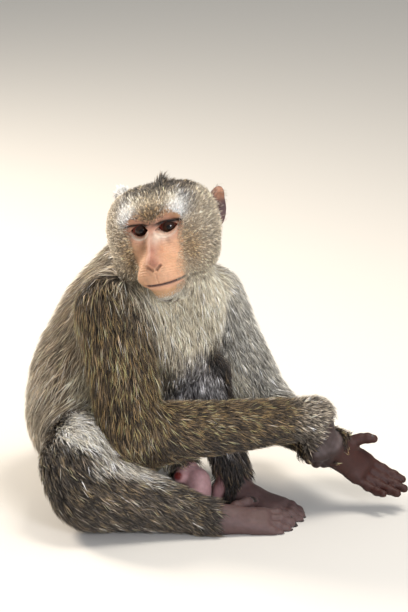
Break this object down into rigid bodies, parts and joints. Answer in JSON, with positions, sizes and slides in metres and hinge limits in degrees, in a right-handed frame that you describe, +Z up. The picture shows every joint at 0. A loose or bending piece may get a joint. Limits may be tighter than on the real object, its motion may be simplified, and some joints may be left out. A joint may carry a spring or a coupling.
{
  "type": "seated long-tailed macaque model",
  "caption": "Life-size still museum model of an adult male long-tailed macaque sitting with crossed forearms, one knee raised, head turned to the viewer and the tail laid behind",
  "frame": {"origin": "Middle of the model's bounding box, at floor level", "axes": "+Z up from the floor; -Y is the way the face looks; the trunk faces between +X and -Y, and the hands reach toward +X"},
  "size_m": [0.389, 0.3988, 0.3438],
  "materials": {
    "coat": "agouti fur, grey-brown with golden tips",
    "coat_pale": "soft pale grey-cream fur",
    "face_skin": "bare peach skin, finely wrinkled",
    "ear_skin": "thin bare skin",
    "hand_skin": "dark creased bare skin",
    "groin_skin": "soft bare skin",
    "eye": "wet polished eye, dark brown iris"
  },
  "bodies": {
    "root": {"head": "coat", "muzzle": "face_skin", "jaw": "face_skin", "ear_left": "ear_skin", "ear_right": "ear_skin", "eye_left": "eye", "eye_right": "eye", "neck": "coat_pale", "chest": "coat_pale", "belly": "coat", "pelvis": "coat", "scrotum": "groin_skin", "upper_arm_right": "coat", "upper_arm_left": "coat", "forearm_right": "coat", "forearm_left": "coat", "hand_right": "hand_skin", "hand_left": "hand_skin", "thigh_right": "coat", "thigh_left": "coat", "shank_right": "coat", "shank_left": "coat", "foot_right": "hand_skin", "foot_left": "hand_skin", "tail_1": "coat", "tail_2": "coat", "tail_3": "coat", "tail_4": "coat", "tail_5": "coat"}
  },
  "joints": []
}
